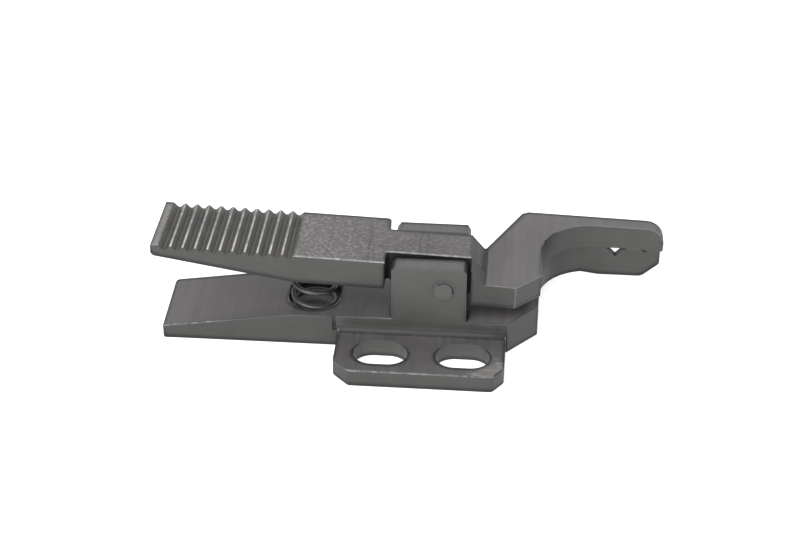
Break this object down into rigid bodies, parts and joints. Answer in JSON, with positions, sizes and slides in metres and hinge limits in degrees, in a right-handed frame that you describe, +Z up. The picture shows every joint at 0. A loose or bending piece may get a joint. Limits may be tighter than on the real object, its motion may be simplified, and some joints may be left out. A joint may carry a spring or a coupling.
{
  "type": "fiber collimator holder",
  "caption": "Small sprung clamp with a slotted mounting flange: squeezing the serrated thumb lever opens offset jaws that hold a fiber collimator in a V-groove.",
  "frame": {"origin": "on the underside of the mounting flange, midway between its two screw slots", "axes": "+X from the thumb end to the jaws, +Y from the flange to the jaws' far side, +Z up from the mounting surface"},
  "size_m": [0.0512, 0.0217, 0.0107],
  "materials": {
    "body_steel": "fine machined stainless steel, slightly satin, thin bright broken edges",
    "lever_steel": "fine machined stainless steel, slightly satin, thin bright broken edges",
    "pin_steel": "ground steel dowel, ends faced",
    "spring_wire": "bright drawn stainless spring wire"
  },
  "bodies": {
    "holder": {"holder_body": "body_steel", "pivot_pin": "pin_steel", "return_spring": "spring_wire"},
    "lever": {"clamp_lever": "lever_steel"}
  },
  "joints": [
    {"name": "lever_pivot", "type": "hinge", "parent": "holder", "child": "lever", "pos_m": [0.0019, 0, 0.0069], "axis": [0, -1, 0], "range_deg": [0, 10], "stiffness_Nm_per_rad": 0.17, "springref_deg": -10.89, "deforming": ["return_spring"]}
  ]
}
